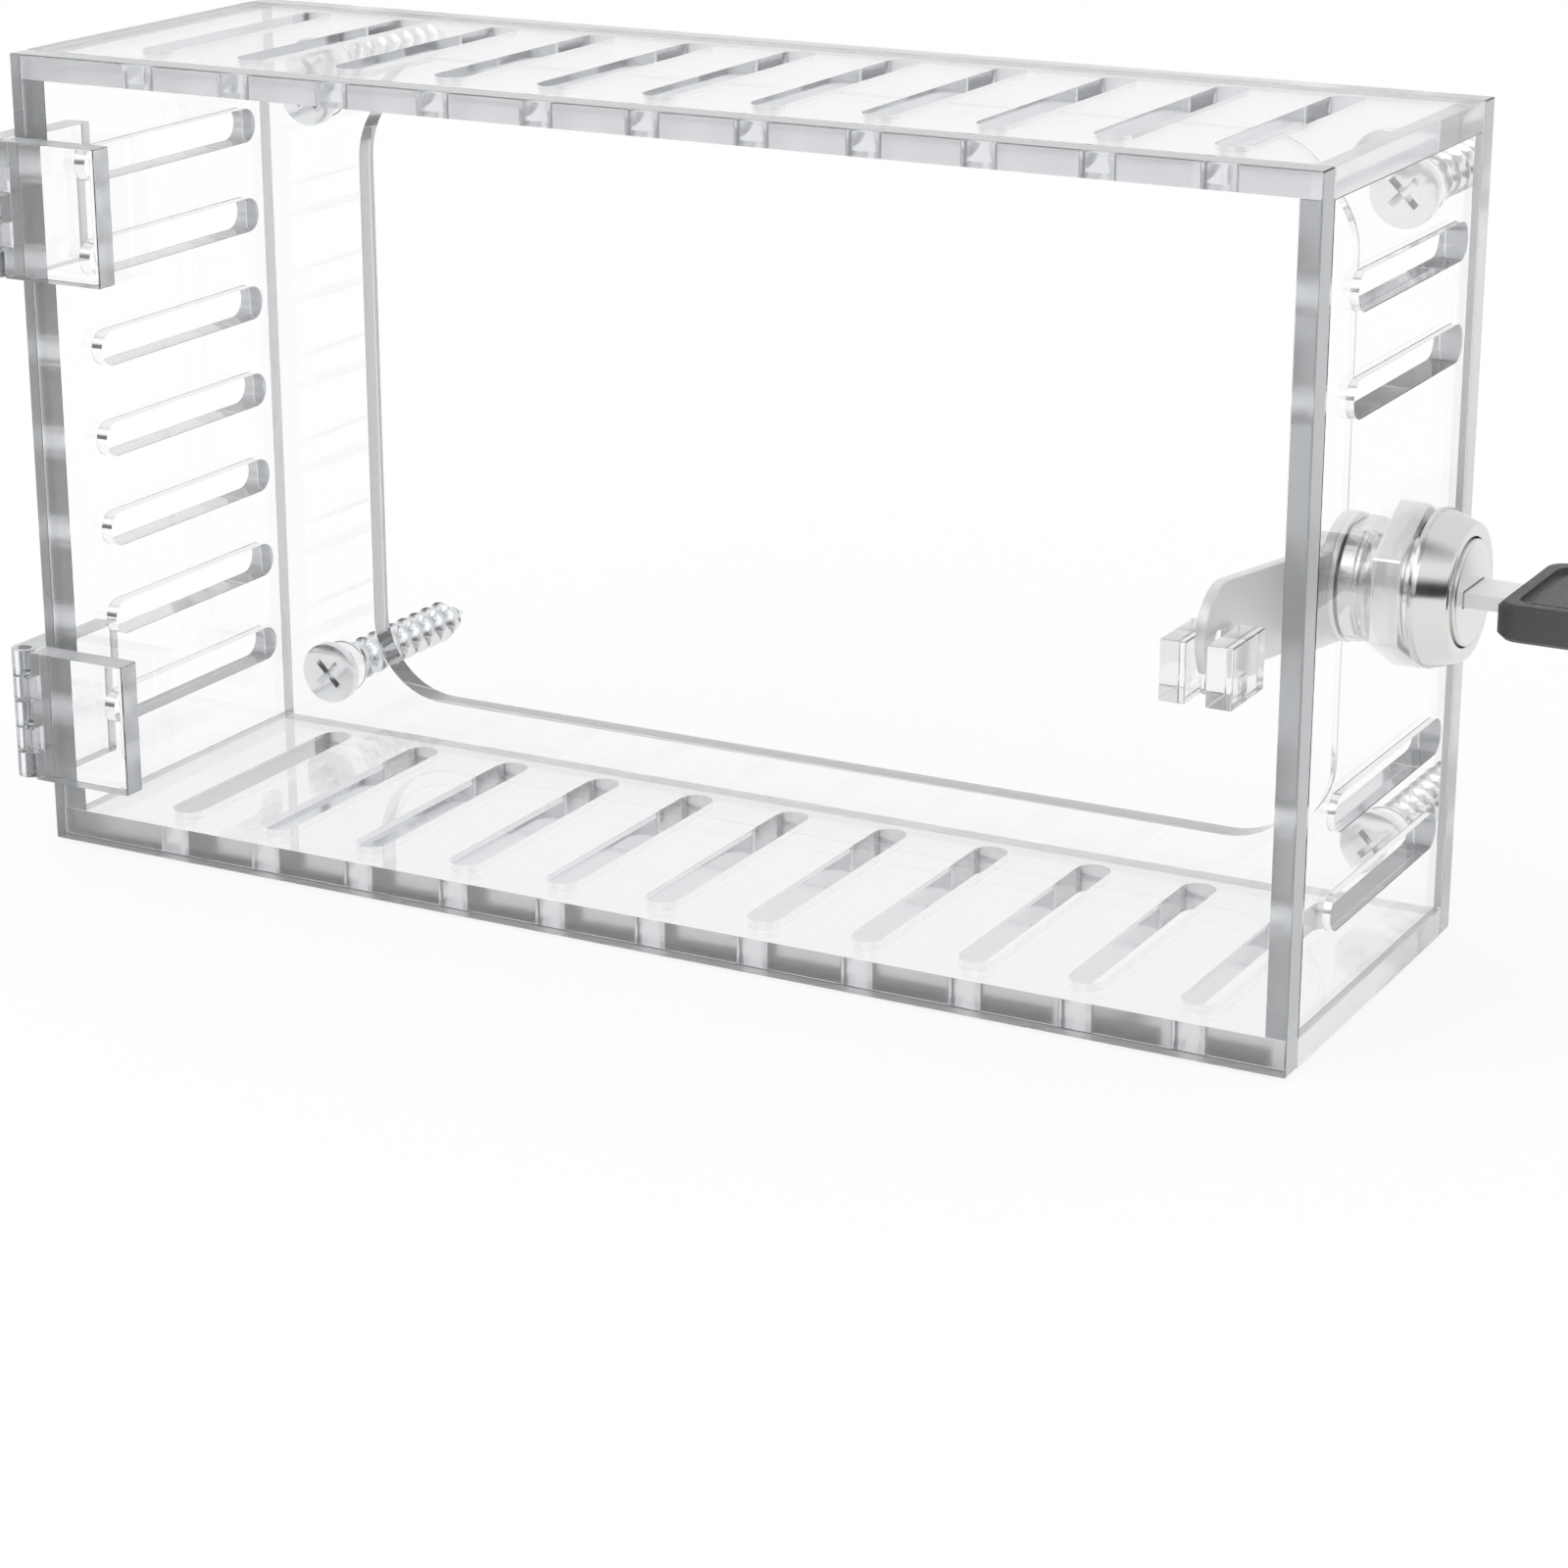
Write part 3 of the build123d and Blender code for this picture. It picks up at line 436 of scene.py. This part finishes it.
rows = [
    even_row(barrel_end, bore_radius, 96),
    notched_row(barrel_end, band_radius - 0.4 * mm),
    notched_row(barrel_end + 0.4 * mm, band_radius),
    notched_row(barrel_end + notch_depth, band_radius),
    even_row(barrel_end + notch_depth + 0.02 * mm, band_radius, 96),
    even_row(thread_start - 0.5 * mm, band_radius, 96),
    even_row(thread_start - 0.3 * mm, thread_root, 96),
]
rows += thread_rows(
    thread_start, panel_face - 0.1 * mm, 1.0 * mm, ((0.0, 0.0), (0.40, 1.0), (0.52, 1.0), (0.92, 0.0)),
    lambda along, depth: thread_root + depth * (thread_crest - thread_root), 96)
rows += [even_row(along, radius, 96) for along, radius in (
    (panel_face, thread_root),
    (panel_face, bezel_radius - 0.25 * mm),
    (panel_face + 0.08 * mm, bezel_radius - 0.07 * mm),
    (panel_face + 0.25 * mm, bezel_radius),
    (panel_face + 1.05 * mm, bezel_radius),
    (panel_face + 1.25 * mm, bezel_radius - 0.10 * mm),
    (bezel_front - 0.30 * mm, bezel_radius - 1.40 * mm),
    (bezel_front - 0.08 * mm, bezel_radius - 1.58 * mm),
    (bezel_front, bezel_radius - 1.85 * mm),
    (bezel_front, recess_radius + 0.50 * mm),
    (bezel_front - 0.20 * mm, recess_radius + 0.10 * mm),
    (bezel_front - 0.50 * mm, recess_radius),
    (recess_floor, recess_radius),
    (recess_floor, bore_radius),
    (barrel_end, bore_radius),
)]
lock_body = skin("lock_body_threaded", rows, place_on_lock)
satin_nickel = plated("satin_nickel", (0.74, 0.73, 0.72), 0.13, 0.17)
lock_body.data.materials.append(satin_nickel)
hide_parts("lock_body")
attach(lock_body, "box")


# ---------------------------------------------------------------------------
# Lock nut, plug.  The nut clamps the panel against the bezel from inside; the
# plug turns with the key and has the keyway in its satin face.
# ---------------------------------------------------------------------------
# The nut's nickel is painted lighter than the bezel's: painted light that makes up for the clear side panel in front
# of it.
dress("lock_nut", plated("nut_nickel_painted_bright", (0.94, 0.94, 0.93), 0.30, 0.34, scale=90.0), edge=0.25 * mm)
dress("lock_plug", plated("plug_nickel", (0.80, 0.79, 0.78), 0.30, 0.34, scale=90.0), edge=0.08 * mm)


# ---------------------------------------------------------------------------
# Cam, stop washer, washer and screw.  Bright nickel plated sheet steel, all
# on the square tail of the plug.
# ---------------------------------------------------------------------------
bright_nickel = plated("bright_nickel", (0.96, 0.96, 0.95), 0.46, 0.50, scale=90.0)
dress("lock_cam", bright_nickel, edge=0.2 * mm)
dress("stop_washer", bright_nickel, edge=0.08 * mm)
dress("cam_washer", bright_nickel, edge=0.08 * mm)
dress("cam_screw", bright_nickel, edge=0.12 * mm)


# ---------------------------------------------------------------------------
# Wafers and their springs.  Five brass plates in the plug, each pushed by a
# small steel coil.
# ---------------------------------------------------------------------------
dress("lock_wafers", plated("wafer_brass", (0.80, 0.62, 0.30), 0.25, 0.4), edge=0.05 * mm)
dress("wafer_springs", plated("spring_steel", (0.60, 0.60, 0.61), 0.25, 0.4))


# ---------------------------------------------------------------------------
# Key.  Plated steel blade in a dark grey moulded grip.
# ---------------------------------------------------------------------------
def moulded_plastic(name, colour):
    material, tree, surface = new_material(name)
    surface.inputs["Base Color"].default_value = (*colour, 1.0)
    grain = tree.nodes.new("ShaderNodeGroup")
    grain.node_tree = marks
    grain.inputs["Scale"].default_value = 1400.0
    grain.inputs["Low"].default_value = 0.38
    grain.inputs["High"].default_value = 0.52
    grain.inputs["Ripple"].default_value = 0.3
    tree.links.new(grain.outputs["Roughness"], surface.inputs["Roughness"])
    tree.links.new(grain.outputs["Normal"], surface.inputs["Normal"])
    return material


dress("key_blade", bright_nickel, edge=0.08 * mm)
dress("key_bow", moulded_plastic("dark_grey_plastic", (0.068, 0.068, 0.073)), edge=0.2 * mm)


# ---------------------------------------------------------------------------
# Mounting screws.  Bright zinc plated wood screws through the back frame, with
# a cross recess and a coarse thin thread; one is made and set at four places.
# ---------------------------------------------------------------------------
def screws_on_grid():
    """Copies the given mesh to the corners of an upright rectangle."""
    group = bpy.data.node_groups.new("screws_on_grid", "GeometryNodeTree")
    group.interface.new_socket(name="Geometry", in_out="INPUT", socket_type="NodeSocketGeometry")
    group_input(group, "Across", 0.1)
    group_input(group, "Up", 0.1)
    group_input(group, "Columns", 2, "NodeSocketInt")
    group_input(group, "Rows", 2, "NodeSocketInt")
    group.interface.new_socket(name="Material", in_out="INPUT", socket_type="NodeSocketMaterial")
    group.interface.new_socket(name="Geometry", in_out="OUTPUT", socket_type="NodeSocketGeometry")
    enter = group.nodes.new("NodeGroupInput")
    leave = group.nodes.new("NodeGroupOutput")
    grid = group.nodes.new("GeometryNodeMeshGrid")
    group.links.new(enter.outputs["Across"], grid.inputs["Size X"])
    group.links.new(enter.outputs["Up"], grid.inputs["Size Y"])
    group.links.new(enter.outputs["Columns"], grid.inputs["Vertices X"])
    group.links.new(enter.outputs["Rows"], grid.inputs["Vertices Y"])
    upright = group.nodes.new("GeometryNodeTransform")
    upright.inputs["Rotation"].default_value = (pi / 2, 0.0, 0.0)
    group.links.new(grid.outputs["Mesh"], upright.inputs["Geometry"])
    copies = group.nodes.new("GeometryNodeInstanceOnPoints")
    group.links.new(upright.outputs["Geometry"], copies.inputs["Points"])
    group.links.new(enter.outputs["Geometry"], copies.inputs["Instance"])
    real = group.nodes.new("GeometryNodeRealizeInstances")
    group.links.new(copies.outputs["Instances"], real.inputs["Geometry"])
    finish = group.nodes.new("GeometryNodeSetMaterial")
    group.links.new(real.outputs["Geometry"], finish.inputs["Geometry"])
    group.links.new(enter.outputs["Material"], finish.inputs["Material"])
    group.links.new(finish.outputs["Geometry"], leave.inputs["Geometry"])
    return group


def baked(piece):
    """Mesh of the piece with its modifiers made final."""
    view = bpy.context.evaluated_depsgraph_get()
    mesh = bpy.data.meshes.new_from_object(piece.evaluated_get(view))
    piece.modifiers.clear()
    piece.data = mesh
    return mesh


low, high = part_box("mounting_screws")
head_radius = 4.8 * mm
head_rim = 1.4 * mm
head_cone = 3.5 * mm
core_radius = 2.05 * mm
crest_radius = 3.18 * mm
point_length = 6.5 * mm
thread_pitch = 3.44 * mm
head_top = low.y
cone_end = head_top + head_rim + head_cone
tip = high.y
thread_end = tip - 0.3 * mm


def screw_radius(along, depth):
    taper = min((tip - along) / point_length, 1.0)
    return (core_radius + depth * (crest_radius - core_radius)) * taper


rows = [even_row(along, radius, 32) for along, radius in (
    (head_top, 0.0),
    (head_top, head_radius - 0.25 * mm),
    (head_top + 0.08 * mm, head_radius - 0.07 * mm),
    (head_top + 0.25 * mm, head_radius),
    (head_top + head_rim, head_radius),
    (cone_end, core_radius),
)]
rows += thread_rows(
    cone_end, thread_end, thread_pitch, ((0.0, 0.0), (0.62, 0.0), (0.78, 0.35), (0.88, 1.0), (0.93, 1.0), (0.99, 0.2)),
    screw_radius, 32)
rows += [even_row(thread_end, screw_radius(thread_end, 0.0), 32), even_row(tip, 0.0, 32)]
screws = skin(
    "wood_screws", rows,
    lambda along, radius, angle: Vector((radius * cos(angle), along, radius * sin(angle))))

# Cross recess: two slim tapered bars taken out of the head.
recess_span = 2.5 * mm
recess_half_width = 0.5 * mm
recess_depth = 1.9 * mm
cutter_shape = bmesh.new()
for turn in (pi / 4, 3 * pi / 4):
    bar = bmesh.ops.create_cube(cutter_shape, size=2.0)["verts"]
    for corner in bar:
        deep = corner.co.y > 0
        corner.co.x *= recess_span * (0.45 if deep else 1.05)
        corner.co.y = recess_depth if deep else -0.1 * mm
        corner.co.z *= recess_half_width * (0.7 if deep else 1.0)
    bmesh.ops.rotate(cutter_shape, verts=bar, matrix=Matrix.Rotation(turn, 3, "Y"))
bmesh.ops.recalc_face_normals(cutter_shape, faces=cutter_shape.faces)
cutter_mesh = bpy.data.meshes.new("recess")
cutter_shape.to_mesh(cutter_mesh)
cutter_shape.free()
cutter = bpy.data.objects.new("recess", cutter_mesh)
cutter.location = (0.0, head_top, 0.0)
scene.collection.objects.link(cutter)
cut = screws.modifiers.new("recess", "BOOLEAN")
cut.object = cutter
cut.solver = "EXACT"
cut.use_self = True
baked(screws)
bpy.data.objects.remove(cutter)

bright_zinc = plated("bright_zinc", (0.78, 0.79, 0.80), 0.12, 0.22)
spread = screws.modifiers.new("spread", "NODES")
spread.node_group = screws_on_grid()
settings = {
    "Across": high.x - low.x - 2 * head_radius, "Up": high.z - low.z - 2 * head_radius,
    "Columns": 2, "Rows": 2, "Material": bright_zinc,
}
for item in spread.node_group.interface.items_tree:
    if item.in_out == "INPUT" and item.name in settings:
        spread[item.identifier] = settings[item.name]
baked(screws)
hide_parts("mounting_screws")
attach(screws, "box")
